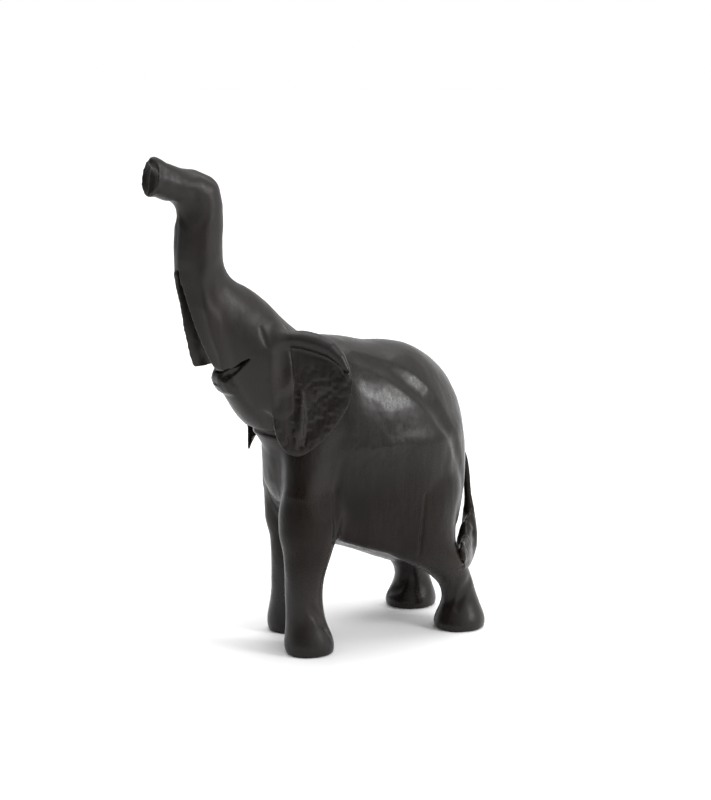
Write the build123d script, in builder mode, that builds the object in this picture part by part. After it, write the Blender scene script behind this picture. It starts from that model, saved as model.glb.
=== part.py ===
"""Carved hardwood elephant with its trunk raised, standing on four flat soles.

Millimetres, +Z up, nose towards -Y, the animal's left side towards +X. The origin is on
the ground, under the centre of the bounding box. Four pieces: the main carved block, two
ears let into slots in the head, and a tail with a round tenon in a drilled hole.
"""

import os
from math import cos, radians, sin

from build123d import *

# ---------------------------------------------------------------- driving dimensions
SHOULDER_Y = -5.0  # places along the body, below, are counted from this line across it

# Torso, from chest to rump: place along the body, top, bottom, half width
TORSO = (
    (-21, 120, 84, 10),
    (-16, 154, 72, 20),
    (-4, 176, 62, 32),
    (16, 178, 54, 39.5),
    (40, 173, 44, 42),
    (60, 170, 37, 40.5),
    (76, 162, 38, 34),
    (87, 152, 44, 26.5),
    (95, 139, 54, 18.5),
    (101, 124, 72, 9),
)

# Head, from the neck to the upper lip: place along the body, height, tilt of the section
# up from straight ahead, half height, half width
HEAD = (
    (-4, 147, 22, 26, 24),
    (-18, 153, 19, 31.5, 27),
    (-35, 168.5, 10, 34.5, 25.5),
    (-50, 184, 4, 32, 20),
    (-60, 190, -6, 27, 16),
    (-67, 192, -10, 21, 12),
)

# Trunk, from inside the head to the rim of its tip: place along the body, height, lean of
# the section from straight up towards the nose, half depth, half width
TRUNK = (
    (-52, 188, 18, 24.5, 15.5),
    (-60, 204, 14, 19.5, 15),
    (-66, 217, 9, 15, 13.5),
    (-69, 231, 1, 12.9, 12.4),
    (-69, 244, 0, 12.6, 12),
    (-68.8, 254.5, 10, 12.2, 11.4),
    (-72.6, 264.5, 38, 12.2, 10.8),
    (-81, 270.2, 70, 9.4, 9.6),
    (-89, 273, 76, 9, 9.2),
    (-95, 275.5, 78, 10, 9.8),
    (-98.5, 276.7, 80, 11, 10.8),
)

# Lower jaw, from the throat to the lip, in the same terms as the head
JAW = (
    (-24, 143, 30, 19, 20),
    (-36, 150, 25, 17, 17.5),
    (-46, 155, 20, 11.5, 13),
    (-54.5, 158, 14, 5.5, 8),
    (-60, 159, 10, 2.4, 3.4),
)

# Upper lip, one flange each side of the mouth: height, place along, distance from the
# mid-plane, half length, half width
LIP = (
    (228, -71, 6.5, 9, 4),
    (208, -66.5, 9.5, 9.5, 4.6),
    (190, -62, 11, 10, 4.8),
    (176, -59, 11.8, 9, 4.4),
    (167.5, -58, 12.2, 7, 3.4),
)

# Legs, from the sole up: height, sideways and lengthwise offsets from the leg's own place,
# half width, half length
FORELEG = (
    (0, 2.2, 2.4, 13.4, 13.6),
    (4, 2.2, 2.3, 14.2, 14.6),
    (18, 1, 0.8, 11.6, 12),
    (32, 0, 0, 10.8, 10.8),
    (54, 0, 2, 12.4, 13.2),
    (70, -1, 5, 14.5, 17),
    (92, -5, 11, 14, 17),
    (114, -11, 17, 10, 13),
)
HIND_LEG = (
    (0, 0.5, 0.2, 14.2, 14.6),
    (4, 0.5, 0, 15, 15.6),
    (20, 0, 0, 10.6, 10.6),
    (34, -0.5, -7, 12.2, 13),
    (48, -1.5, -20, 15, 18.5),
    (72, -4, -27, 17, 25),
    (98, -7, -29, 17, 26),
    (120, -10, -31, 15, 22),
)
# where each leg stands: side (left 1, right -1), distance from the mid-plane, place along
LEFT_FORELEG = (1, 24.5, -17.2)
RIGHT_FORELEG = (-1, 16.5, -4.0)
LEFT_HIND_LEG = (1, 26.5, 86.5)
RIGHT_HIND_LEG = (-1, 26.5, 85.5)

# Mouth: a thin wedge under the upper lips, seen from the side, and how wide it is cut
MOUTH_OUTLINE = ((-48.5, 173.5), (-62, 163), (-86, 163), (-86, 166.5), (-63, 167.5))
MOUTH_HALF_WIDTH = 26.0

# Furrow up the underside of the trunk, between the two lip flanges, seen from the front
FURROW_APEX_HEIGHT = 228.0
FURROW_FOOT_HEIGHT = 160.0
FURROW_FOOT_HALF_WIDTH = 9.5
FURROW_FLOOR_FOOT_Y = -56.0
FURROW_LEAN = 14.0  # degrees, the furrow's floor leans forward as it climbs
FURROW_CUT_DEPTH = 40.0  # past the front of the trunk

NOSTRIL_RADIUS = 6.2
NOSTRIL_DEPTH = 5.0
SEPTUM_THICKNESS = 2.4
EYE_PLACE = (24.0, -49, 187)
EYE_RADIUS = 4.0

# Ears: outline of the blade seen from the side, its front edge inside the head
EAR_OUTLINE = (
    (-29, 181.5), (-21, 187), (-11, 186), (-1, 178.5), (4, 164), (2.5, 149),
    (-4.5, 135), (-14, 123.5), (-24, 117.5), (-32, 122), (-36, 136), (-34, 160),
)
EAR_ROOT = (20.5, -43.0)  # plan position of the blade's front end, inside the head
EAR_RIM = (46.0, 6.0)  # plan position of the blade's rear rim
EAR_BOW = 3.5  # how far the blade is dished in, between root and rim
EAR_THICKNESS = 4.6
EAR_LEAN = 8.0  # degrees, the top of the blade leans in over the neck
EAR_MIDDLE_HEIGHT = 150.0
EAR_REACH = 70.0  # longer than the ear in every direction, for cutting its outline
RIGHT_EAR_OFFSET = (4.5, -6.0)  # the right ear is set this far back and this much lower

# Tail: place across, place along, height, half width and half depth, root to tip
TAIL_TENON_RADIUS = 3.2
TAIL_TENON = ((0, 88, 112), (0, 102, 102.5))
TAIL = (
    (0, 102, 102.5, 3.2, 3.2),
    (0.5, 105.5, 94, 3.1, 3.1),
    (3, 106.6, 76, 3.1, 3),
    (6, 106, 60, 4.4, 3.8),
    (9, 104, 49, 5.8, 4.8),
    (12, 101, 39, 5, 4.2),
    (14.5, 97.5, 33, 2, 2),
)


def across(y, z, lean):
    """Plane across the animal at (y, z), its normal leaning from straight up to the nose."""
    angle = radians(lean)
    return Plane(
        origin=(0, y + SHOULDER_Y, z), x_dir=(1, 0, 0), z_dir=(0, -sin(angle), cos(angle))
    )


def member(stations):
    """Loft of ovals along the animal's mid-plane; tilts are up from straight ahead."""
    with BuildPart() as rough:
        for y, z, tilt, half_height, half_width in stations:
            with BuildSketch(across(y, z, 90 - tilt)):
                Ellipse(half_width, half_height)
        loft()
    return rough.part


def lip(side):
    """One flange of the upper lip, hanging in front of the cheek."""
    with BuildPart() as flange:
        for z, y, out, half_length, half_width in LIP:
            with BuildSketch(Plane.XY.offset(z)):
                with Locations((side * out, y + SHOULDER_Y)):
                    Ellipse(half_width, half_length)
        loft()
    return flange.part


def leg(stations, place):
    """One leg as a loft of ovals, from a flat sole up into the torso."""
    side, out, along = place
    with BuildPart() as column:
        for z, dx, dy, half_width, half_length in stations:
            with BuildSketch(Plane.XY.offset(z)):
                with Locations((side * (out + dx), along + dy + SHOULDER_Y)):
                    Ellipse(half_width, half_length)
        loft()
    return column.part


# ---------------------------------------------------------------- rough shape of the main block
with BuildPart() as torso:
    for y, top, bottom, half_width in TORSO:
        with BuildSketch(across(y, (top + bottom) / 2, 90)):
            Ellipse(half_width, (top - bottom) / 2)
    loft()

with BuildPart() as trunk:
    for y, z, lean, half_depth, half_width in TRUNK:
        with BuildSketch(across(y, z, lean)):
            Ellipse(half_width, half_depth)
    loft()

head = member(HEAD)
jaw = member(JAW)
lips = [lip(side) for side in (1, -1)]
legs = [
    leg(FORELEG, LEFT_FORELEG),
    leg(FORELEG, RIGHT_FORELEG),
    leg(HIND_LEG, LEFT_HIND_LEG),
    leg(HIND_LEG, RIGHT_HIND_LEG),
]

# ---------------------------------------------------------------- ears
def ear_shape(side, back=0.0, up=0.0):
    """Curved blade: its side outline, kept where it meets a bowed wall seen from above."""
    root = (side * EAR_ROOT[0], EAR_ROOT[1] + back + SHOULDER_Y)
    rim = (side * EAR_RIM[0], EAR_RIM[1] + back + SHOULDER_Y)
    middle = (side * ((EAR_ROOT[0] + EAR_RIM[0]) / 2 - EAR_BOW), (root[1] + rim[1]) / 2)
    with BuildPart() as blade:
        with BuildSketch(Plane.YZ):
            with BuildLine():
                points = [(y + back + SHOULDER_Y, z + up) for y, z in EAR_OUTLINE]
                Spline(*points, periodic=True)
            make_face()
        extrude(amount=side * EAR_REACH)
        lean = radians(EAR_LEAN)
        plan = Plane(
            origin=(0, 0, EAR_MIDDLE_HEIGHT + up),
            x_dir=(1, 0, 0),
            z_dir=(-side * sin(lean), 0, cos(lean)),
        )
        with BuildSketch(plan):
            with BuildLine():
                wall = ThreePointArc(root, middle, rim)
            trace(wall, line_width=EAR_THICKNESS)
        extrude(amount=EAR_REACH, both=True, mode=Mode.INTERSECT)
    return blade.part


left_blade = ear_shape(1)
right_blade = ear_shape(-1, *RIGHT_EAR_OFFSET)

with BuildPart() as left_ear:
    add(left_blade)

with BuildPart() as right_ear:
    add(right_blade)

# ---------------------------------------------------------------- tail
with BuildPart() as tail:
    inner, outer = (Vector(x, y + SHOULDER_Y, z) for x, y, z in TAIL_TENON)
    tenon = outer - inner
    with BuildSketch(Plane(origin=inner, x_dir=(1, 0, 0), z_dir=tenon)):
        Circle(TAIL_TENON_RADIUS)
    extrude(amount=tenon.length)
    for index, (x, y, z, half_width, half_depth) in enumerate(TAIL):
        before = Vector(TAIL[max(index - 1, 0)][:3])
        after = Vector(TAIL[min(index + 1, len(TAIL) - 1)][:3])
        direction = tenon if index == 0 else after - before
        place = (x, y + SHOULDER_Y, z)
        with BuildSketch(Plane(origin=place, x_dir=(1, 0, 0), z_dir=direction)):
            Ellipse(half_width, half_depth)
    loft()

# ---------------------------------------------------------------- main block
with BuildPart() as body:
    for rough_member in (torso.part, head, trunk.part, jaw, *lips, *legs):
        add(rough_member)

    # mouth, cut right across under the upper lips
    with BuildSketch(Plane.YZ.offset(-MOUTH_HALF_WIDTH)):
        with BuildLine():
            Polyline(*[(y + SHOULDER_Y, z) for y, z in MOUTH_OUTLINE], close=True)
        make_face()
    extrude(amount=2 * MOUTH_HALF_WIDTH, mode=Mode.SUBTRACT)

    # furrow between the lip flanges, an upright triangle with a leaning floor
    lean = radians(FURROW_LEAN)
    floor = Plane(
        origin=(0, FURROW_FLOOR_FOOT_Y + SHOULDER_Y, FURROW_FOOT_HEIGHT),
        x_dir=(1, 0, 0),
        z_dir=(0, -cos(lean), -sin(lean)),
    )
    rise = (FURROW_APEX_HEIGHT - FURROW_FOOT_HEIGHT) / cos(lean)
    with BuildSketch(floor):
        Polygon(
            (-FURROW_FOOT_HALF_WIDTH, 0),
            (FURROW_FOOT_HALF_WIDTH, 0),
            (0, rise),
            align=None,
        )
    extrude(amount=FURROW_CUT_DEPTH, mode=Mode.SUBTRACT)

    # two nostrils with a thin wall between them
    tip_y, tip_z, tip_lean = TRUNK[-1][:3]
    with BuildSketch(across(tip_y, tip_z, tip_lean)):
        Circle(NOSTRIL_RADIUS)
        Rectangle(SEPTUM_THICKNESS, 3 * NOSTRIL_RADIUS, mode=Mode.SUBTRACT)
    extrude(amount=-NOSTRIL_DEPTH, mode=Mode.SUBTRACT)

    # eye sockets
    for side in (1, -1):
        with Locations((side * EYE_PLACE[0], EYE_PLACE[1] + SHOULDER_Y, EYE_PLACE[2])):
            Sphere(EYE_RADIUS, mode=Mode.SUBTRACT)

    # slots for the ears and the hole for the tail's tenon
    add(left_ear.part, mode=Mode.SUBTRACT)
    add(right_ear.part, mode=Mode.SUBTRACT)
    add(tail.part, mode=Mode.SUBTRACT)

# ---------------------------------------------------------------- export
os.makedirs("parts", exist_ok=True)
body.part.label = "body"
export_step(body.part, "parts/body.step")
left_ear.part.label = "left_ear"
export_step(left_ear.part, "parts/left_ear.step")
right_ear.part.label = "right_ear"
export_step(right_ear.part, "parts/right_ear.step")
tail.part.label = "tail"
export_step(tail.part, "parts/tail.step")

whole = Compound([body.part, left_ear.part, right_ear.part, tail.part]).bounding_box()
print("whole", whole.min, whole.max)
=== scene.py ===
"""Carved wooden elephant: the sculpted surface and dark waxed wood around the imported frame.

Lengths in the sculpting functions are millimetres in the part's own frame: +Z up, the
trunk towards -Y, the animal's left side towards +X. Meshes are written out in metres.

The blocks of clay, the floor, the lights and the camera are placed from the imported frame.
The body and the tail start from their nodes' meshes. The ears don't: they are built from
the outlines below. The tools' places are plain numbers in the part's frame, so they don't
follow a change of the part.
"""
import math

import bpy
import numpy as np
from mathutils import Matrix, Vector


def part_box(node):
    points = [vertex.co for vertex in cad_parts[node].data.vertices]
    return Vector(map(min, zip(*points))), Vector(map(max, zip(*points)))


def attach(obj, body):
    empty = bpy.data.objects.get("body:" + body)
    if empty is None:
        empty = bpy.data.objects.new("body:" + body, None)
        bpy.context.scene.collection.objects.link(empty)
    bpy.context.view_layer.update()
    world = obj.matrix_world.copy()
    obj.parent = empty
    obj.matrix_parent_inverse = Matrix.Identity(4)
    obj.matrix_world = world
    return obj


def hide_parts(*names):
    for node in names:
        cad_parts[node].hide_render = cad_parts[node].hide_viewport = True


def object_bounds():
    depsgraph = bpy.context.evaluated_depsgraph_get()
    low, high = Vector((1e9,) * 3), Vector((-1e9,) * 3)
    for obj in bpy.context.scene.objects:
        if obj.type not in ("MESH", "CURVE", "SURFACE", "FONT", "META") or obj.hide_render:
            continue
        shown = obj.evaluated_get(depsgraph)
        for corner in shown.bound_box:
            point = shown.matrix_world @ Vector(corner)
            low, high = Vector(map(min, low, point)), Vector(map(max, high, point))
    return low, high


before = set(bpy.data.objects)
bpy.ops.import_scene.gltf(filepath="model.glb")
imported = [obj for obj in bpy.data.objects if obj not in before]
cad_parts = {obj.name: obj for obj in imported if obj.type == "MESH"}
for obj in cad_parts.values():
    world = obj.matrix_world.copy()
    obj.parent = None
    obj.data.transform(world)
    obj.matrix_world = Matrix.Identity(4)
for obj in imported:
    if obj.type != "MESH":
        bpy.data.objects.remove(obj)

import openvdb
from mathutils import Vector

CAD_LOW, CAD_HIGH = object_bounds()
MM = 1000.0

BODY_VOXEL = 0.75
EAR_VOXEL = 0.55
TAIL_VOXEL = 0.5
BAND = 9.0  # how far from the surface distances are kept
SNAP_ROUNDS = 6  # steps that lay a path on the surface
SETTLE_ROUNDS = 2  # steps that lay the meshed points on the surface
SETTLE_SHARE = 0.8  # share of the distance that each of them moves


# ---------------------------------------------------------------- clay: distances on a grid
def smooth_min(a, b, k):
    h = np.maximum(k - np.abs(a - b), 0) / k
    return np.minimum(a, b) - h * h * k * 0.25


def smooth_max(a, b, k):
    return -smooth_min(-a, -b, k)


def node_mesh(name):
    """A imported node's points, in millimetres, and triangles."""
    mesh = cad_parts[name].data
    points = np.empty(len(mesh.vertices) * 3, np.float32)
    mesh.vertices.foreach_get("co", points)
    mesh.calc_loop_triangles()
    faces = np.empty(len(mesh.loop_triangles) * 3, np.int32)
    mesh.loop_triangles.foreach_get("vertices", faces)
    return points.reshape(-1, 3) * MM, faces.reshape(-1, 3).astype(np.uint32)


class Clay:
    """A block of signed distances to a surface, negative inside, that tools reshape."""

    def __init__(self, low, high, voxel):
        self.voxel = voxel
        self.start = np.floor(np.array(low) / voxel).astype(int)
        self.shape = np.ceil(np.array(high) / voxel).astype(int) - self.start + 1
        self.field = np.full(self.shape, BAND, np.float32)

    def from_mesh(self, points, faces):
        grid = openvdb.FloatGrid.createLevelSetFromPolygons(
            points,
            triangles=faces,
            transform=openvdb.createLinearTransform(self.voxel),
            halfWidth=BAND / self.voxel,
        )
        self.field = np.full(self.shape, BAND, np.float32)
        grid.copyToArray(self.field, ijk=tuple(int(v) for v in self.start))

    def surface(self, level=0.0):
        grid = openvdb.FloatGrid(BAND)
        grid.copyFromArray(self.field, ijk=tuple(int(v) for v in self.start))
        grid.transform = openvdb.createLinearTransform(self.voxel)
        return grid.convertToQuads(level)

    def rebuild(self, level):
        """True distances again, measured from the surface at that level."""
        points, quads = self.surface(level)
        faces = np.concatenate([quads[:, [0, 2, 1]], quads[:, [0, 3, 2]]])
        self.from_mesh(points, faces.astype(np.uint32))

    def fill_corners(self, radius):
        """Rounds every inside corner to the radius, as a gouge would leave it."""
        self.rebuild(radius)
        self.field += radius
        np.minimum(self.field, BAND, out=self.field)

    def window(self, low, high):
        a = np.floor(np.array(low) / self.voxel).astype(int) - self.start
        b = np.ceil(np.array(high) / self.voxel).astype(int) - self.start + 1
        a, b = np.clip(a, 0, self.shape), np.clip(b, 0, self.shape)
        axes = [
            ((np.arange(i, j) + s) * self.voxel).astype(np.float32)
            for i, j, s in zip(a, b, self.start)
        ]
        where = tuple(slice(i, j) for i, j in zip(a, b))
        return where, np.meshgrid(*axes, indexing="ij", sparse=True)

    def sample(self, points):
        """The distance and its gradient at each point."""
        p = np.asarray(points, float) / self.voxel - self.start
        i = np.clip(np.floor(p).astype(int), 1, np.array(self.shape) - 3)
        f = p - i

        def at(shift):
            total = 0
            for corner in range(8):
                bits = np.array([corner & 1, corner >> 1 & 1, corner >> 2 & 1])
                weight = np.prod(np.where(bits, f, 1 - f), axis=1)
                j = i + bits + shift
                total = total + weight * self.field[j[:, 0], j[:, 1], j[:, 2]]
            return total

        steps = np.eye(3, dtype=int)
        gradient = np.stack([at(s) - at(-s) for s in steps], 1) / 2
        gradient /= np.linalg.norm(gradient, axis=1)[:, None] + 1e-9
        return at(np.zeros(3, int)), gradient

    def snap(self, path, spacing=1.5):
        """The path, with rows x, y, z and more, filled in and laid on the surface.

        Returns the filled-in rows and the surface's normals there."""
        path = np.array(path, float)
        lengths = np.linalg.norm(np.diff(path[:, :3], axis=0), axis=1)
        along = np.concatenate([[0], np.cumsum(lengths)])
        count = max(2, int(along[-1] / spacing) + 1)
        steps = np.linspace(0, along[-1], count)
        rows = np.stack([np.interp(steps, along, column) for column in path.T], 1)
        for _ in range(SNAP_ROUNDS):
            value, normal = self.sample(rows[:, :3])
            rows[:, :3] -= value[:, None] * normal
        return rows, self.sample(rows[:, :3])[1]

    def chain(self, rows):
        """The window round a chain of balls, rows x, y, z, radius, and the distances to it."""
        rows = np.array(rows, float)
        reach = rows[:, 3].max() + 6
        where, (x, y, z) = self.window(
            rows[:, :3].min(0) - reach, rows[:, :3].max(0) + reach
        )
        nearest = None
        for p, q in zip(rows[:-1], rows[1:]):
            d = q[:3] - p[:3]
            length = float(d @ d) + 1e-9
            ax, ay, az = x - p[0], y - p[1], z - p[2]
            t = np.clip((ax * d[0] + ay * d[1] + az * d[2]) / length, 0, 1)
            far = np.sqrt(
                (ax - t * d[0]) ** 2 + (ay - t * d[1]) ** 2 + (az - t * d[2]) ** 2
            ) - (p[3] + (q[3] - p[3]) * t)
            nearest = far if nearest is None else np.minimum(nearest, far)
        return where, nearest.astype(np.float32)

    def add(self, rows, blend=2.0):
        where, shape = self.chain(rows)
        self.field[where] = smooth_min(self.field[where], shape, blend)

    def cut(self, rows, blend=0.8):
        where, shape = self.chain(rows)
        self.field[where] = smooth_max(self.field[where], -shape, blend)

    def gouge(self, path, blend=0.8):
        """Cuts a channel along a path on the surface: rows x, y, z, radius, depth."""
        rows, normal = self.snap(path)
        rows[:, :3] += normal * (rows[:, 3] - rows[:, 4])[:, None]
        self.cut(rows[:, :4], blend)
        return rows[:, :4]

    def soften(self, middle, radius, passes):
        """Smooths the shape inside a ball, as rubbing down would, fading to its edge."""
        middle = np.array(middle, float)
        where, (x, y, z) = self.window(middle - radius, middle + radius)
        block = self.field[where]
        blurred = block.copy()
        for _ in range(passes):
            for axis in range(3):
                padded = np.concatenate(
                    [np.take(blurred, [0], axis), blurred, np.take(blurred, [-1], axis)], axis
                )
                n = padded.shape[axis]
                blurred = (
                    np.take(padded, range(0, n - 2), axis)
                    + np.take(padded, range(2, n), axis)
                    + 2 * blurred
                ) / 4
        far = np.sqrt((x - middle[0]) ** 2 + (y - middle[1]) ** 2 + (z - middle[2]) ** 2)
        share = 1 - ease(far, 0.55 * radius, 0.97 * radius)
        self.field[where] = block + share * (blurred - block)


def ease(value, low, high):
    t = np.clip((value - low) / (high - low), 0, 1)
    return t * t * (3 - 2 * t)


def mirrored(path):
    """The same path on the other side."""
    return [(-row[0], *row[1:]) for row in path]


# ---------------------------------------------------------------- noise, seeded
def lattice_noise(points, size, seed):
    """Smooth noise, about -1 to 1, with lumps of that size."""
    table = np.random.default_rng(seed).uniform(-1, 1, (64, 64, 64))
    p = points / size + 500.0
    i = np.floor(p).astype(int)
    f = p - i
    f = f * f * f * (f * (f * 6 - 15) + 10)
    total = 0
    for corner in range(8):
        bits = np.array([corner & 1, corner >> 1 & 1, corner >> 2 & 1])
        j = (i + bits) % 64
        total = total + np.prod(np.where(bits, f, 1 - f), axis=1) * table[
            j[:, 0], j[:, 1], j[:, 2]
        ]
    return total


def knife_facets(points, size, seed):
    """Height of overlapping shallow knife cuts: 0 at the middle of each, 1 at its edge."""
    rng = np.random.default_rng(seed)
    table = rng.uniform(0, 1, (32, 32, 32, 3))
    p = points / size + 500.0
    cell = np.floor(p).astype(int)
    nearest = np.full(len(p), 9.0)
    for corner in range(27):
        shift = np.array([corner % 3, corner // 3 % 3, corner // 9]) - 1
        j = cell + shift
        seat = j + table[j[:, 0] % 32, j[:, 1] % 32, j[:, 2] % 32]
        nearest = np.minimum(nearest, ((p - seat) ** 2).sum(1))
    return np.minimum(nearest, 1.0)


# ---------------------------------------------------------------- meshes from clay
def carve_marks(points, normal, marks):
    """Points moved along their normals by layers of marks: kind, marks per millimetre on
    each axis, height in millimetres, seed, and the mask that says where or None."""
    move = np.zeros(len(points))
    for kind, size, height, seed, where in marks:
        share = 1.0 if where is None else where(points, normal)
        made = knife_facets if kind == "facet" else lattice_noise
        scaled = points * np.array(size)[None, :]
        move = move + share * height * made(scaled, 1.0, seed)
    return points + normal * move[:, None]


def to_mesh(name, clay, marks, node):
    points, quads = clay.surface()
    points = points.astype(float)
    for _ in range(SETTLE_ROUNDS):
        value, normal = clay.sample(points)
        points = points - SETTLE_SHARE * value[:, None] * normal
    points = carve_marks(points, clay.sample(points)[1], marks)
    mesh = bpy.data.meshes.new(name)
    mesh.vertices.add(len(points))
    mesh.vertices.foreach_set("co", (points / MM).astype(np.float32).ravel())
    corners = quads.astype(np.int32)  # wound so that the faces look outwards
    mesh.loops.add(corners.size)
    mesh.loops.foreach_set("vertex_index", corners.ravel())
    mesh.polygons.add(len(corners))
    mesh.polygons.foreach_set("loop_start", np.arange(len(corners), dtype=np.int32) * 4)
    mesh.update(calc_edges=True)
    mesh.validate()
    mesh.shade_smooth()
    piece = bpy.data.objects.new(name, mesh)
    bpy.context.scene.collection.objects.link(piece)
    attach(piece, "root")
    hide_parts(node)
    return piece


# ---------------------------------------------------------------- main block
def block_for(node, voxel, room=6.0, load=True):
    low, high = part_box(node)
    clay = Clay([v * MM - room for v in low], [v * MM + room for v in high], voxel)
    if load:
        clay.from_mesh(*node_mesh(node))
    return clay


def both_sides(path):
    """A left side path, and the same one on the right."""
    return [path, mirrored(path)]


def wide_box(clay, stations, taper, corner, top, blend):
    """Adds a rounded box along the body: rows place along, half width, bottom."""
    rows = np.array(stations, float)
    where, (x, y, z) = clay.window(
        (-48, rows[0, 0] - 12, rows[:, 2].min() - 12), (48, rows[-1, 0] + 12, top + 12)
    )
    half = np.interp(y, rows[:, 0], rows[:, 1]) - taper * (top - z)
    under = np.interp(y, rows[:, 0], rows[:, 2])
    dx = np.abs(x) - half + corner
    dz = np.maximum(under + corner - z, z - top + corner)
    box = (
        np.sqrt(np.maximum(dx, 0) ** 2 + np.maximum(dz, 0) ** 2)
        + np.minimum(np.maximum(dx, dz), 0)
        - corner
    )
    ends = np.maximum(rows[0, 0] - y, y - rows[-1, 0])
    shape = smooth_max(box, ends + 0 * box, 8.0).astype(np.float32)
    clay.field[where] = smooth_min(clay.field[where], shape, blend)


body = block_for("body", BODY_VOXEL)
body.fill_corners(5.0)

# chest and shoulders, flush from the neck down into the forelegs
body.add([(17, -12, 130, 15), (20.5, -17, 112, 14), (25, -20, 92, 13.5), (25.5, -22, 72, 12.5)], 8)
body.add([(-17, -6, 128, 15), (-18.5, -9, 108, 14), (-18.5, -10, 90, 13.5), (-17, -10, 72, 12)], 8)
body.add([(3, -17, 128, 19), (0, -15.5, 116, 17.5), (0, -14.5, 101, 16.5)], 9)
# front of the trunk, straighter under its bend
body.add([(0.4, -94, 273.6, 9.0), (0.4, -87, 270.6, 9.6), (0.4, -79, 269.2, 10.4),
    (0.4, -72.4, 266.0, 10.4), (0.4, -71.7, 258, 11.2), (0, -72, 250, 11.4)], 3.0)
for side in (1, -1):
    body.soften((7 * side, -86, 271), 13, 16)
body.soften((0, -86, 264), 10, 30)
body.add([(0, -74.6, 251, 12.6), (0, -74.9, 238, 13.1), (0, -75, 224, 13.1)], 2.5)
body.cut([(-14, -93.2, 257.6, 5), (14, -93.2, 257.6, 5)], 2.0)

# lower flanks, squarer than the rest and running flush into the thighs
wide_box(
    body,
    [(-6, 31, 66), (4, 34.5, 61), (16, 37.5, 56.5), (30, 39.3, 52), (40, 39.8, 47),
        (50, 39.5, 43.5),
     (60, 38, 42), (70, 34.5, 44), (78, 29, 50), (84, 24, 56)],
    0.05, 8.0, 124, 7,
)
body.rebuild(0.0)

# Flanges of the upper lip, by side. FLANGE_EDGE: height, place along of the front edge.
# EDGE_OUT: height, place across of that edge. ARRIS: height, across, along of the back one.
FLANGE_EDGE = {
    1: [(164, -68.4), (168, -70.2), (174.5, -73.4), (190, -79.0), (205, -82.8), (218, -85.8),
        (230, -87.4), (236, -86.8), (247, -86.0), (258, -84.6), (266, -82.5)],
    -1: [(164, -73.0), (167, -74.0), (174.5, -76.7), (190, -81.3), (205, -84.0), (214, -85.6),
        (222, -86.4), (230, -86.8), (236, -87.0), (247, -86.0), (258, -84.6), (266, -82.5)],
}
EDGE_OUT = {
    1: [(164, 10.4), (168, 9.7), (177, 8.4), (186, 7.1), (194, 5.9), (203, 4.6), (214, 3.3),
        (224, 2.8), (236, 4.4), (247, 5), (258, 5.6), (266, 6.5)],
    -1: [(164, 10.4), (168, 9.7), (177, 8.4), (186, 7.1), (194, 5.9), (203, 5.0), (214, 5.0),
        (224, 6), (236, 6.5), (247, 6.5), (258, 6.5), (266, 7)],
}
ARRIS = [(164, 15.3, -66.8), (177, 15.1, -70.3), (186, 14.4, -73.4), (194, 13.9, -75.4),
    (203, 13.2, -77.4), (214, 12.4, -78.5), (224, 11.5, -79.4), (236, 11.2, -79.6),
    (247, 11.0, -78.8), (258, 11.0, -77), (266, 10.6, -75.4)]

FURROW_APEX, FURROW_END = 224.8, 224.0  # heights where its walls meet and where it stops
FURROW_SPREAD = 0.154  # half width gained for each millimetre down
FURROW_FLOOR, FURROW_RAKE = -60.5, 0.262  # its floor at height 160, and its lean


def column(rows, z, k=1):
    """The k-th value of rows that start with a height, read at height z."""
    return np.interp(z, [row[0] for row in rows], [row[k] for row in rows])


def lip_flanges(clay, side):
    """The flat down one side of the trunk, and that side's flange of the upper lip."""
    span = (-0.4, 22) if side > 0 else (-22, 0.4)
    where, (x, y, z) = clay.window((span[0], -96, 158), (span[1], -50, 270))
    out = side * x
    edge, edge_out = column(FLANGE_EDGE[side], z), column(EDGE_OUT[side], z)
    arris_out, arris_y = column(ARRIS, z), column(ARRIS, z, 2)
    inner = np.clip((FURROW_APEX - z) * FURROW_SPREAD, 0, None)
    run, rise = arris_out - edge_out, arris_y - edge
    t = np.clip((out - edge_out) / run, -0.3, 1.6)
    hollow = np.clip(t * (1 - t) * 4, 0, 1) * (0.8 * ease(z, 164, 176) - 1.4 * ease(z, 212, 240))
    face = edge + rise * t + hollow
    outside = (face - y) / np.sqrt(1 + (rise / run) ** 2)
    shape = clay.field[where]
    # filled out to the flat, in front of what the frame gives
    fill = np.maximum(smooth_max(outside, -12 - outside, 0.5),
        np.maximum(z - 222, out - arris_out + 1))
    fill = smooth_max(fill, (166.6 if side > 0 else 165.2) - z + 0 * fill, 4.0)
    shape = smooth_min(shape, np.maximum(fill, inner - out - 0.5), 1.5)
    ends = np.maximum(163.5 - z, z - 252)
    shape = smooth_max(shape, np.minimum(outside, -ends * 0.3), 1.2)
    floor_y = FURROW_FLOOR - (z - 160) * FURROW_RAKE
    walls = out - inner * np.clip(1 - 0.30 * (y - edge) / (floor_y - edge + 0.01), 0.3, 1)
    furrow = np.maximum(smooth_max(walls, y - floor_y, 2.0), z - FURROW_END)
    clay.field[where] = smooth_max(shape, -np.minimum(furrow, 9), 0.4)


lip_flanges(body, 1)
lip_flanges(body, -1)
for side in (1, -1):
    body.soften((9 * side, -82, 258), 13, 40)

# mouth, cut right across and rising to its corners
MOUTH = [(-53.5, 174, 0.3), (-56.5, 171.2, 0.8), (-59, 168.9, 0.9), (-62, 166.6, 0.9),
    (-66, 165.6, 0.8), (-92, 165.2, 0.8)]


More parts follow.
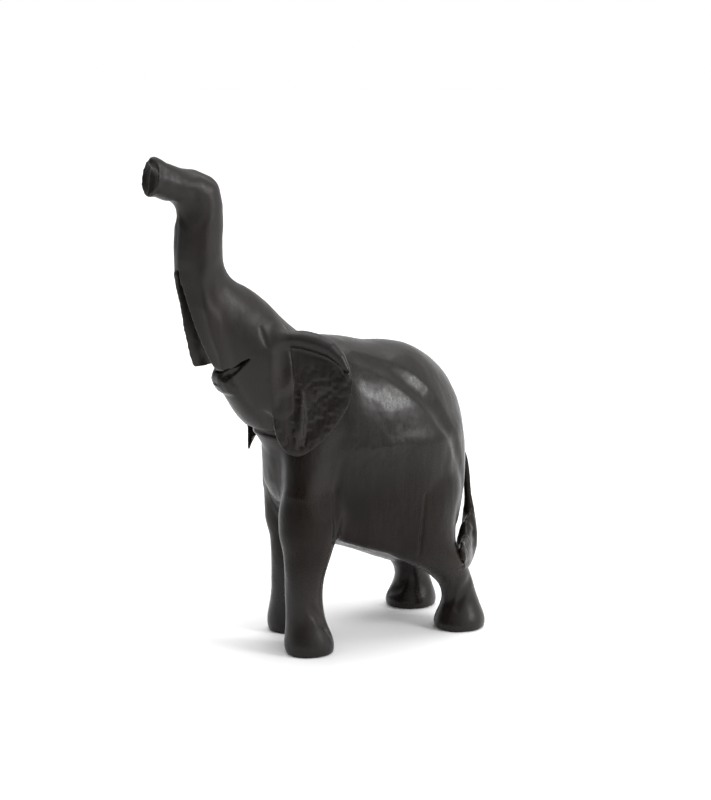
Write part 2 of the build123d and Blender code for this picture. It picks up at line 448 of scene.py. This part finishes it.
def cut_across(clay, path, half_width, blend):
    """Cuts a channel from side to side: rows place along, height, radius."""
    rows = np.array(path, float)
    low = (-half_width, rows[:, 0].min() - 6, rows[:, 1].min() - 6)
    high = (half_width, rows[:, 0].max() + 6, rows[:, 1].max() + 6)
    where, (x, y, z) = clay.window(low, high)
    nearest = None
    for p, q in zip(rows[:-1], rows[1:]):
        d = q[:2] - p[:2]
        t = np.clip(((y - p[0]) * d[0] + (z - p[1]) * d[1]) / (d @ d), 0, 1)
        far = np.hypot(y - p[0] - t * d[0], z - p[1] - t * d[1]) - p[2] - (q[2] - p[2]) * t
        nearest = far if nearest is None else np.minimum(nearest, far)
    clay.field[where] = smooth_max(clay.field[where], -(nearest + 0 * x), blend)


# lower lip, rounded at its end, then the slit and a wedge knocked out of each side of it
for y, z, radius in ((-62.6, 162.8, 2.0), (-62.4, 160.6, 2.6), (-61.6, 158.4, 3.2),
    (-59, 155.6, 4.0)):
    body.add([(-6.2, y + 1.2, z, radius), (-3, y, z, radius), (3, y, z, radius),
        (6.2, y + 1.2, z, radius)], 2.0)
cut_across(body, MOUTH, 27, 0.5)
for path in both_sides(
    [(18.6, -55.2, 172.6, 0.4), (15.8, -57.4, 169.6, 1.4), (12.8, -60, 166.6, 2.5),
        (10, -62, 164.2, 3.1), (8.4, -63.6, 162.8, 2.6), (7.0, -66, 163.6, 1.2)]
):
    body.cut(path, 0.7)


RIM_MIDDLE = (-103.5, 276.7)  # place along and height of the middle of the trunk's rim
RIM_LEAN = math.radians(80)
NOSTRIL_DEPTH = 1.5


def nostrils(clay):
    """Two D-shaped hollows in the rim of the trunk, with a thin wall between."""
    where, (x, y, z) = clay.window((-16, -112, 260), (16, -90, 294))
    ahead, up = y - RIM_MIDDLE[0], z - RIM_MIDDLE[1]
    across_z = up * math.sin(RIM_LEAN) + ahead * math.cos(RIM_LEAN)
    depth = -ahead * math.sin(RIM_LEAN) + up * math.cos(RIM_LEAN)
    oval = (np.sqrt((x / 9.2) ** 2 + (across_z / 9.4) ** 2) - 1) * 9.2
    oval = oval - 0.12 * depth
    hollow = smooth_max(oval, 0.8 - np.abs(x) + 0 * oval, 1.6)
    hollow = smooth_max(hollow, -depth - NOSTRIL_DEPTH, 2.5)
    clay.field[where] = smooth_max(clay.field[where], -hollow, 1.0)


nostrils(body)
# lobes of the rim, and the notches over and under the wall
body.add([(4.4, -103.4, 285.8, 2.6), (4.2, -99.5, 283.6, 2.8), (3.4, -93, 279.6, 2.6),
    (3, -86, 276.6, 2)], 4.0)
body.cut([(-0.3, -108, 289.4, 1.4), (-0.3, -101, 288.4, 1.1), (-0.3, -97, 287.6, 0.3)], 0.8)
body.cut([(-0.2, -108, 264.6, 1.3), (-0.2, -101, 265.2, 0.9)], 0.8)
body.cut([(-9.5, -108, 289.5, 5.2), (-9.0, -98, 289.5, 4.2)], 1.0)

# rough chisel work on the bend of the trunk
body.gouge([(4.6, -78, 278.6, 6, 0.3), (6, -72, 276.5, 6, 0.4), (7, -67, 272.5, 6, 0.2)], 0.8)
body.gouge([(9.8, -84, 269.5, 3, 0.2), (10.2, -81, 267.4, 3, 0.35)], 0.4)
body.gouge([(9.9, -82.6, 266.8, 2.5, 0.2), (10.3, -79.6, 264.6, 2.5, 0.3)], 0.4)

# the head rubbed smooth, then the eyes: a slanted groove each
for side in (1, -1):
    body.soften((14 * side, -60, 214), 22, 90)
    body.soften((18 * side, -52, 200), 20, 90)
    body.soften((18 * side, -48, 188), 14, 30)
    body.soften((12 * side, -47, 206), 18, 60)
    body.soften((14 * side, -57, 209), 16, 60)
for path in both_sides([(20.9, -46.4, 191.2, 1.2, 0.25), (22.0, -45.6, 186.6, 2.0, 0.5),
    (23.3, -44.1, 181.0, 1.2, 0.25)]):
    body.gouge(path, 1.0)

# throat, cut in under the jaw
body.gouge([(-14, -36, 128, 2.4, 1.2), (0, -42.6, 129, 2.6, 1.9), (8, -39, 128.2, 2.4, 1.8),
    (16, -33.5, 127.4, 2.4, 1.6)], 0.9)

# back: a broad gouge under a soft ridge that runs from the shoulders down to the tail
for path in both_sides(
    [(22, 16, 168.5, 12, 0.5), (27.5, 34, 160.5, 13, 1.1), (31.5, 46, 151, 13, 1.4),
        (33.6, 56, 140, 12, 1.5),
     (33.8, 64, 128, 11, 1.4), (32.5, 71, 116, 10, 1.2), (30, 78, 102, 10, 0.8),
         (28.5, 81, 88, 9, 0.4)]
):
    body.gouge(path, 1.6)

# flanks: cut back under the bulge, and creases behind shoulder and before thigh
for path in both_sides(
    [(36.5, 1, 112.6, 13, 0.5), (38.6, 7, 111.6, 14, 1.0), (40.6, 18, 111.6, 14, 1.2),
        (41.6, 28, 113, 13, 0.8), (41.8, 38, 115, 12, 0.2)]
):
    body.gouge(path, 1.2)
for path in both_sides([(37, 4, 102, 40, 0.5), (40, 18, 101, 44, 0.9), (41, 32, 103, 40, 0.5)]):
    body.gouge(path, 4)
for path in both_sides([(40, 49.5, 88, 0.9, 0.3), (39.8, 48.6, 76, 1.1, 0.9),
    (39.2, 47.6, 63, 1.2, 1.1), (37.6, 47.0, 51, 1.0, 0.7)]):
    body.gouge(path, 0.6)
for path in both_sides([(37, -3, 112, 3, 0.3), (37.5, -5.5, 95, 3.2, 0.7),
    (37.5, -7.5, 78, 3.0, 0.9), (35.5, -8, 66, 2.6, 0.8)]):
    body.gouge(path, 1.4)

# feet: knife flats that leave slanting arrises
body.gouge([(36.6, -23, 27, 9, 0.7), (37.4, -16, 20, 9, 0.9), (36, -9.6, 14, 8, 0.7)], 0.6)
body.gouge([(38.6, 72, 16, 7, 0.6), (37.8, 77, 22, 8, 0.8), (34, 82, 30, 8, 0.5)], 0.5)
body.gouge([(30.5, 68, 14, 7, 0.5), (35.5, 70.5, 22, 8, 0.8), (36.5, 73, 32, 8, 0.5)], 0.5)
body.gouge([(-17, 71, 22, 8, 0.6), (-21, 67.5, 14, 8, 0.8), (-30, 66, 8, 8, 0.5)], 0.5)
body.gouge([(-8.5, -14, 24, 7, 0.6), (-6.6, -10, 14, 7, 0.7)], 0.5)


# ---------------------------------------------------------------- ears
# Outline of each blade seen from its side: place along and height on the left ear's own frame.
LEFT_OUTLINE = [
    (-34, 181.5), (-26, 187), (-16, 186), (-6, 178.5), (-1, 164), (-2.5, 149),
    (-9.5, 135), (-19, 123.5), (-29, 117.5), (-37, 122), (-41, 136), (-39, 160),
]
RIGHT_OUTLINE = [
    (-34, 181.5), (-26, 187), (-16, 186), (-6, 178.5), (-1, 164), (-2.5, 149),
    (-9.0, 137), (-17, 129), (-25.5, 123.8), (-30, 118.8), (-32.6, 114.8), (-33.6, 119),
    (-34.6, 128), (-37.5, 145), (-39, 162),
]
EAR_TURN = 0.1405  # how far in the blade leans for each millimetre up
# Rolls, grooves and hollows of the left ear: rows x, y, z, radius.
ROLL = [(19.5, -34, 183.0, 4.0), (22.8, -28.5, 183.2, 4.8), (25.8, -23.0, 182.8, 5.1),
    (30.0, -16.8, 181.2, 5.2), (34.6, -10.8, 178.0, 4.6),
        (39.0, -6.8, 173.2, 3.4), (42.2, -4.4, 167.2, 2.0), (43.6, -3.4, 162, 0.9)]
ROLL_GROOVE = [(24.0, -33.4, 177.0, 0.15), (26.6, -28.2, 176.0, 0.8), (29.0, -23.4, 174.8, 1.3),
    (33.0, -16.8, 173.2, 1.4), (37.2, -11.4, 171.0, 1.4),
               (41.0, -7.2, 168.0, 1.2), (43.6, -4.0, 165.6, 0.8)]
FINE_GROOVE = [(28.8, -25.0, 172.0, 0.5), (32.4, -18.4, 170.4, 0.8), (36.4, -13.2, 168.2, 0.8),
    (40.6, -9.2, 165.0, 0.6)]
FRONT_RIDGE = [(28.6, -25.4, 154, 0.8), (29.4, -26.0, 147, 1.8), (29.9, -26.8, 139, 2.4),
    (30.2, -27.8, 131, 2.4), (29.6, -29.2, 124, 1.2)]
FRONT_GROOVE = [(32.4, -22.7, 147, 0.4), (33.0, -23.4, 140, 0.9), (33.2, -24.6, 131, 0.9),
    (32.8, -26.0, 124, 0.6)]
VALLEY = [(30.9, -36.2, 177, 6.6), (31.5, -36.9, 168, 6.8), (32.9, -37.6, 158, 6.8),
    (33.8, -38.2, 148, 6.6), (34.2, -38.4, 140, 6.0), (34.0, -37.6, 133.5, 4.6)]
LOBE_HOLLOW = [(33.0, -34.6, 134, 3.6), (32.6, -34.4, 128.5, 4.0), (32.8, -32.2, 125, 3.4),
    (33.4, -29.6, 123.4, 2.4)]


def closed_curve(points, steps=14):
    p = np.array(points, float)
    t = np.linspace(0, 1, steps, endpoint=False)[:, None]
    made = []
    for i in range(len(p)):
        a, b, c, d = (p[(i + k) % len(p)] for k in (-1, 0, 1, 2))
        made.append(
            0.5
            * (
                2 * b
                + (c - a) * t
                + (2 * a - 5 * b + 4 * c - d) * t**2
                + (3 * b - a - 3 * c + d) * t**3
            )
        )
    return np.concatenate(made)


def inside_depth(outline, v, w):
    """How far inside a closed outline each place is; negative outside."""
    line = closed_curve(outline)
    nxt = np.roll(line, -1, 0)
    nearest = np.full(np.broadcast(v, w).shape, 1e9)
    crossings = np.zeros(nearest.shape, int)
    for (av, aw), (bv, bw) in zip(line, nxt):
        dv, dw = bv - av, bw - aw
        t = np.clip(((v - av) * dv + (w - aw) * dw) / (dv * dv + dw * dw + 1e-12), 0, 1)
        nearest = np.minimum(nearest, (v - av - t * dv) ** 2 + (w - aw - t * dw) ** 2)
        spans = (aw > w) != (bw > w)
        meets = av + (w - aw) * dv / (dw if abs(dw) > 1e-9 else 1e-9)
        crossings += spans & (v < meets)
    return np.where(crossings % 2 == 1, 1, -1) * np.sqrt(nearest)


def blade_middle(v, w):
    """How far out the middle of a blade is, at that place along and height."""
    t = (v + 48) / 49
    return 20.5 + 25.5 * t - 14 * t * (1 - t) - EAR_TURN * (w - 150)


def ear(node, side, back, up, outline):
    """A blade that far back and up from the left ear's place, on that side. The body is
    cut back under it and run up to it in front."""
    clay = block_for(node, EAR_VOXEL, room=9.0, load=False)
    where, (x, y, z) = clay.window(clay.start * clay.voxel, (clay.start + clay.shape) * clay.voxel)
    out, v, w = side * x, y - back, z - up
    depth = inside_depth(outline, v, w)
    middle = blade_middle(v, w)
    half = 0.75 + 1.35 * ease(depth, 0, 7)
    dish = (1.0 + 0.9 * ease(150 - w, -12, 20)) * ease(depth, 1.2, 9)
    face, rear = middle + half - dish, middle - half - 0.8 * dish
    shape = smooth_max(out - face, rear - out, 0.9)
    clay.field[where] = smooth_max(shape, -depth + 0 * shape, 0.7).astype(np.float32)

    def place(rows):
        return [(side * row[0], row[1] + back, row[2] + up, *row[3:]) for row in rows]

    clay.add(place(ROLL), 1.6)
    clay.cut(place(ROLL_GROOVE), 0.7)
    clay.cut(place(FINE_GROOVE), 0.6)
    clay.add(place(FRONT_RIDGE), 2.4)
    clay.cut(place(FRONT_GROOVE), 0.8)
    # the body
    low = np.maximum(clay.start * clay.voxel, body.start * body.voxel)
    high = np.minimum(
        (clay.start + clay.shape) * clay.voxel, (body.start + body.shape) * body.voxel
    )
    where, (x, y, z) = body.window(low, high)
    out, v, w = side * x, y - back, z - up
    depth = inside_depth(outline, v, w)
    middle = blade_middle(v, w)
    under = smooth_min(out - middle + 0.6, depth + 1.4 + 0 * out, 3.0)
    under = np.minimum(under, (v + 27) * 0.5)
    body.field[where] = smooth_max(body.field[where], under, 0.8)
    corners = np.stack(np.broadcast_arrays(x, y, z), -1).reshape(-1, 3)
    near = np.abs(body.field[where].ravel()) < BAND - 0.5
    blade = np.full(len(corners), BAND)
    blade[near] = clay.sample(corners[near])[0]
    blade = blade.reshape(body.field[where].shape) + 0.2 + 2.0 * ease(v, -31, -25)
    reach = 0.5 + 6.5 * ease(w, 126, 142) * ease(-v, 24, 32)
    body.field[where] = smooth_min(body.field[where], np.maximum(blade, (v + 24) * 0.8), reach)
    for block in (clay, body):
        block.cut(place(VALLEY), 2.5)
    clay.cut(place(LOBE_HOLLOW), 1.0)
    return clay


left_ear = ear("left_ear", 1, 0.0, 0.0, LEFT_OUTLINE)
right_ear = ear("right_ear", -1, 4.5, -6.0, RIGHT_OUTLINE)

# ---------------------------------------------------------------- tail
tail = block_for("tail", TAIL_VOXEL, room=24.0)
where, (_, _, z) = tail.window(tail.start * tail.voxel, (tail.start + tail.shape) * tail.voxel)
tail.field[where] += 0.9 * ease(z, 60, 74)
# the tuft: a leaf that curls forward on to the near hock, its outer edge rolled
tail.add([(10, 99.6, 60, 2.6), (11.6, 98.8, 51, 3.2), (13.6, 97.8, 43.6, 3.2),
    (17, 94.2, 38.6, 3.2),
          (24, 88.4, 37.4, 3.0), (30.5, 82.8, 38, 2.8), (35.4, 77.6, 38.8, 2.4),
              (37.6, 72.6, 38.8, 1.7), (37.9, 68.6, 39, 0.6)], 1.5)
tail.add([(12, 96, 62, 1.8), (14.6, 92.6, 55, 3.0), (18, 89.4, 49.5, 4.0), (22.5, 86, 46, 4.4),
    (29, 82, 44.6, 4.0),
          (34.2, 78.4, 45, 2.2)], 3.0)
for web in (
    [(12.5, 97, 55, 2.0), (23, 88, 52.5, 2.0), (32.6, 79.4, 52, 1.4)],
    [(13.6, 96.6, 49, 2.4), (25, 87.6, 47.5, 2.6), (34.4, 78.2, 48.0, 1.8)],
    [(16, 95, 43, 2.4), (27, 86.6, 42.4, 2.6), (35.0, 78.0, 43.2, 1.8)],
):
    tail.add(web, 3.0)
tail.soften((11, 98, 61), 9, 24)
tail.soften((24, 88, 47), 17, 14)
for path in (
    [(14.8, 95.0, 52.5, 0.2), (16.4, 94.0, 48.5, 0.7), (19, 92, 43.8, 1.0),
        (25.6, 87.2, 41.4, 1.0), (32.2, 82.0, 41.8, 1.0), (37.0, 76.4, 42.2, 0.8),
        (39.6, 71.6, 42.4, 0.5)],
    [(19.6, 90.6, 50.8, 0.2), (23, 88.6, 48, 0.5), (30, 84.4, 46.6, 0.5), (36, 78.6, 47, 0.3)],
):
    tail.cut(path, 0.5)

# hips, chest and the right foreleg's inner side, rubbed smooth
for side in (1, -1):
    body.soften((33 * side, 68, 92), 16, 14)
body.soften((0, -24, 87), 14, 40)
body.soften((-9, -16, 52), 12, 20)
body.soften((-9, -16, 38), 12, 20)


# ---------------------------------------------------------------- where marks go, and marks
def low_flank(points, normal):
    """Where the knife worked roughest: just under the bulge of each flank."""
    x, y, z = points.T
    along = ease(y, -4, 4) * (1 - ease(y, 34, 46))
    return ease(np.abs(x), 28, 34) * along * ease(z, 100, 108) * (1 - ease(z, 118, 124))


def trunk_bend(points, normal):
    """The chiselled bend of the trunk."""
    x, y, z = points.T
    return ease(z, 258, 264) * ease(y, -98, -92) * (1 - ease(y, -76, -70))


def off_flanges(points, normal):
    """Everywhere but the flat sides of the lip's flanges."""
    x, y, z = points.T
    height = ease(z, 156, 164) * (1 - ease(z, 228, 240))
    return 1 - height * (1 - ease(y, -74, -62)) * (1 - ease(np.abs(x), 12, 16))


def lower_legs(points, normal):
    """The feet, fading out up the legs."""
    return 1 - ease(points[:, 2], 20, 60)


def tuft(points, normal):
    """The end of the tail."""
    return 1 - ease(points[:, 2], 56, 66)


def blades(points, normal):
    """The hollowed outer face of each ear, below its roll."""
    x, y, z = points.T
    return ease(normal[:, 0] * np.sign(x), 0.3, 0.6) * (1 - ease(z + 6 * (x < 0), 164, 172))


EVERYWHERE = [
    ("noise", (0.10, 0.10, 0.07), 0.22, 11, None),
    ("noise", (0.22, 0.22, 0.12), 0.09, 12, off_flanges),
    ("noise", (0.6, 0.6, 0.35), 0.025, 13, None),
    ("facet", (0.055, 0.055, 0.035), -0.22, 14, off_flanges),
]
BODY_MARKS = EVERYWHERE + [
    ("noise", (0.45, 0.45, 0.45), 0.14, 15, low_flank),
    ("noise", (0.16, 0.16, 0.16), 0.16, 16, low_flank),
    ("facet", (0.16, 0.16, 0.16), -0.2, 17, trunk_bend),
    ("facet", (0.07, 0.07, 0.05), -0.3, 18, lower_legs),
]
EAR_MARKS = [
    ("noise", (0.14, 0.14, 0.14), 0.14, 21, None),
    ("facet", (0.26, 0.26, 0.2), -0.22, 22, blades),
    ("noise", (0.42, 0.42, 0.42), 0.16, 23, blades),
]
TAIL_MARKS = [
    ("noise", (0.5, 0.5, 0.3), 0.08, 31, None),
    ("noise", (0.7, 0.7, 0.4), 0.05, 32, tuft),
]
pieces = [
    to_mesh("body_carving", body, BODY_MARKS, "body"),
    to_mesh("left_ear_carving", left_ear, EAR_MARKS, "left_ear"),
    to_mesh("right_ear_carving", right_ear, EAR_MARKS, "right_ear"),
    to_mesh("tail_carving", tail, TAIL_MARKS, "tail"),
]


# ---------------------------------------------------------------- material
class Nodes:
    """Short calls for a material's node tree."""

    def __init__(self, owner):
        owner.use_nodes = True
        self.tree = owner.node_tree
        self.tree.nodes.clear()

    def make(self, kind, settings=None, **inputs):
        node = self.tree.nodes.new(kind)
        for name, value in (settings or {}).items():
            setattr(node, name, value)
        for name, value in inputs.items():
            self.put(node, name.replace("_", " "), value)
        return node

    def put(self, node, name, value):
        socket = node.inputs[int(name)] if name.isdigit() else node.inputs[name]
        if isinstance(value, bpy.types.NodeSocket):
            self.tree.links.new(value, socket)
        else:
            socket.default_value = value


# Colours of the wood, and its shine. Both changes of shine with height are given values.
DARK, PLAIN = (0.0056, 0.0042, 0.0036), (0.0094, 0.0070, 0.0058)
WARM, STAINED = (0.0105, 0.0066, 0.0050), (0.0044, 0.0036, 0.0034)
PALE_WAX = (0.030, 0.020, 0.0145)  # left in the hollows
WAX_IOR = 1.36
BUMP_STRENGTH, BUMP_DISTANCE = 0.25, 0.0001
FULL_SHINE = 0.5


def dark_waxed_wood():
    material = bpy.data.materials.new("dark_waxed_wood")
    n = Nodes(material)
    shader = n.make("ShaderNodeBsdfPrincipled")
    n.put(n.make("ShaderNodeOutputMaterial"), "Surface", shader.outputs["BSDF"])
    place = n.make("ShaderNodeTexCoord").outputs["Object"]

    def noise(scale, detail, stretch):
        mapped = n.make("ShaderNodeMapping", Vector=place, Scale=stretch)
        spots = mapped.outputs["Vector"]
        made = n.make("ShaderNodeTexNoise", Vector=spots, Scale=scale, Detail=detail)
        return made.outputs["Fac"]

    def ramp(value, low, high, to_low, to_high):
        made = n.make("ShaderNodeMapRange", Value=value, From_Min=low, From_Max=high)
        n.put(made, "To Min", to_low)
        n.put(made, "To Max", to_high)
        return made.outputs["Result"]

    def mix(share, one, other):
        made = n.make("ShaderNodeMix", {"data_type": "RGBA"})
        n.put(made, "0", share)
        for socket, value in ((6, one), (7, other)):
            if isinstance(value, bpy.types.NodeSocket):
                n.tree.links.new(value, made.inputs[socket])
            else:
                made.inputs[socket].default_value = (*value, 1)
        return made.outputs[2]

    def maths(kind, one, other):
        made = n.make("ShaderNodeMath", {"operation": kind})
        n.put(made, "0", one)
        n.put(made, "1", other)
        return made.outputs[0]

    grain = noise(60, 6, (9, 9, 1))  # fibres run up the block
    bands = noise(14, 3, (2.5, 2.5, 0.5))
    stain = noise(30, 4, (1, 1, 1))
    grit = noise(900, 3, (1, 1, 1))
    bend = n.make("ShaderNodeNewGeometry").outputs["Pointiness"]
    hollow = ramp(bend, 0.485, 0.43, 0, 1)  # below 0.5 the surface is hollow
    colour = mix(ramp(grain, 0.35, 0.68, 0, 1), DARK, PLAIN)
    colour = mix(ramp(bands, 0.35, 0.65, 0, 0.6), colour, WARM)
    colour = mix(ramp(stain, 0.45, 0.75, 0, 0.5), colour, STAINED)
    colour = mix(maths("MULTIPLY", hollow, 0.55), colour, PALE_WAX)
    n.put(shader, "Base Color", colour)
    rough = ramp(stain, 0.3, 0.7, 0.24, 0.36)
    rough = maths("ADD", rough, ramp(grain, 0.3, 0.7, -0.03, 0.05))
    rough = maths("ADD", rough, ramp(grit, 0.4, 0.7, -0.02, 0.05))
    above = n.make("ShaderNodeSeparateXYZ", Vector=place).outputs["Z"]
    rough = maths("ADD", rough, ramp(above, 0.165, 0.195, 0, 0.13))  # duller above the shoulders
    n.put(shader, "Roughness", rough)
    dry = ramp(above, 0.03, 0.055, 0, 0.28)  # less shine from foot to flank
    dry = maths("MULTIPLY", dry, ramp(above, 0.085, 0.13, 1, 0))
    n.put(shader, "Specular IOR Level", maths("SUBTRACT", FULL_SHINE, dry))
    n.put(shader, "IOR", WAX_IOR)
    height = maths("ADD", maths("MULTIPLY", grain, 0.3), maths("MULTIPLY", grit, 0.15))
    bump = n.make("ShaderNodeBump", Height=height, Strength=BUMP_STRENGTH, Distance=BUMP_DISTANCE)
    n.put(shader, "Normal", bump.outputs["Normal"])
    return material


wood = dark_waxed_wood()
for piece in pieces:
    piece.data.materials.append(wood)


# ---------------------------------------------------------------- floor, light, camera
MIDDLE = (CAD_LOW + CAD_HIGH) / 2
AZIMUTH, ELEVATION = math.radians(60), math.radians(12.6)
DISTANCE = 1.5
LENS = 121.3
FLOOR_RADIUS = 3.0
FLOOR_SIDES = 96
FLOOR_COLOUR = (0.92, 0.92, 0.92, 1)
SENSOR = 36
AIM = MIDDLE + Vector((0.0539, -0.0047, 0.0080))


def stand_in_view():
    back = Vector(
        (
            math.sin(AZIMUTH) * math.cos(ELEVATION),
            -math.cos(AZIMUTH) * math.cos(ELEVATION),
            math.sin(ELEVATION),
        )
    )
    camera = bpy.data.objects.new("camera", bpy.data.cameras.new("camera"))
    bpy.context.scene.collection.objects.link(camera)
    camera.data.sensor_width = SENSOR
    camera.data.lens = LENS
    camera.data.clip_end = 50
    camera.location = AIM + back * DISTANCE
    camera.rotation_mode = "QUATERNION"
    camera.rotation_quaternion = (-back).to_track_quat("-Z", "Y")
    bpy.context.scene.camera = camera


def floor():
    mesh = bpy.data.meshes.new("floor")
    corners = [(FLOOR_RADIUS * math.cos(a), FLOOR_RADIUS * math.sin(a),
        0) for a in np.linspace(0, 2 * math.pi, FLOOR_SIDES, endpoint=False)]
    mesh.from_pydata(corners, [], [tuple(range(len(corners)))])
    ground = bpy.data.objects.new("floor", mesh)
    bpy.context.scene.collection.objects.link(ground)
    ground.location = (MIDDLE.x, MIDDLE.y, CAD_LOW.z)
    material = bpy.data.materials.new("pale_floor")
    n = Nodes(material)
    shader = n.make("ShaderNodeBsdfPrincipled")
    n.put(n.make("ShaderNodeOutputMaterial"), "Surface", shader.outputs["BSDF"])
    n.put(shader, "Base Color", FLOOR_COLOUR)
    n.put(shader, "Roughness", 0.7)
    mesh.materials.append(material)


def area_light(name, azimuth, elevation, distance, size, power):
    """A light that looks at the part's middle: degrees, metres, metres, watts."""
    a, e = math.radians(azimuth), math.radians(elevation)
    back = Vector((math.sin(a) * math.cos(e), -math.cos(a) * math.cos(e), math.sin(e)))
    data = bpy.data.lights.new(name, "AREA")
    data.shape = "RECTANGLE"
    data.size, data.size_y = size
    data.energy = power
    light = bpy.data.objects.new(name, data)
    bpy.context.scene.collection.objects.link(light)
    light.location = MIDDLE + back * distance
    light.rotation_mode = "QUATERNION"
    light.rotation_quaternion = back.to_track_quat("Z", "Y")


stand_in_view()
floor()
area_light("softbox", 127, 25, 1.3, (0.36, 0.36), 8)
area_light("overhead", 220, 75, 3.0, (2.4, 2.4), 60)


DARK_SIDE = (0, -1, -0.8)  # towards the front and the ground
FADE_START, FADE_END = -0.6, 0.8  # along it
BRIGHT, DIM = 1.15, 0.1


def studio():
    """White where the camera sees it. What lights the part is white behind and above it,
    and darkens towards the front and the ground."""
    world = bpy.data.worlds.new("studio")
    bpy.context.scene.world = world
    n = Nodes(world)
    place = n.make("ShaderNodeTexCoord")
    facing = n.make("ShaderNodeVectorMath", {"operation": "DOT_PRODUCT"})
    n.put(facing, "0", place.outputs["Generated"])
    n.put(facing, "1", DARK_SIDE)
    ramp = n.make("ShaderNodeMapRange", {"interpolation_type": "SMOOTHSTEP"})
    n.put(ramp, "Value", facing.outputs["Value"])
    n.put(ramp, "From Min", FADE_START)
    n.put(ramp, "From Max", FADE_END)
    n.put(ramp, "To Min", BRIGHT)
    n.put(ramp, "To Max", DIM)
    around = n.make("ShaderNodeBackground")
    n.put(around, "Color", (1, 1, 1, 1))
    n.put(around, "Strength", ramp.outputs["Result"])
    seen = n.make("ShaderNodeBackground")
    n.put(seen, "Color", (1, 1, 1, 1))
    n.put(seen, "Strength", 1.0)
    ray = n.make("ShaderNodeLightPath")
    pick = n.make("ShaderNodeMixShader")
    n.put(pick, "0", ray.outputs["Is Camera Ray"])
    n.put(pick, "1", around.outputs["Background"])
    n.put(pick, "2", seen.outputs["Background"])
    n.put(n.make("ShaderNodeOutputWorld"), "Surface", pick.outputs["Shader"])


studio()
bpy.context.scene.view_settings.view_transform = "Standard"
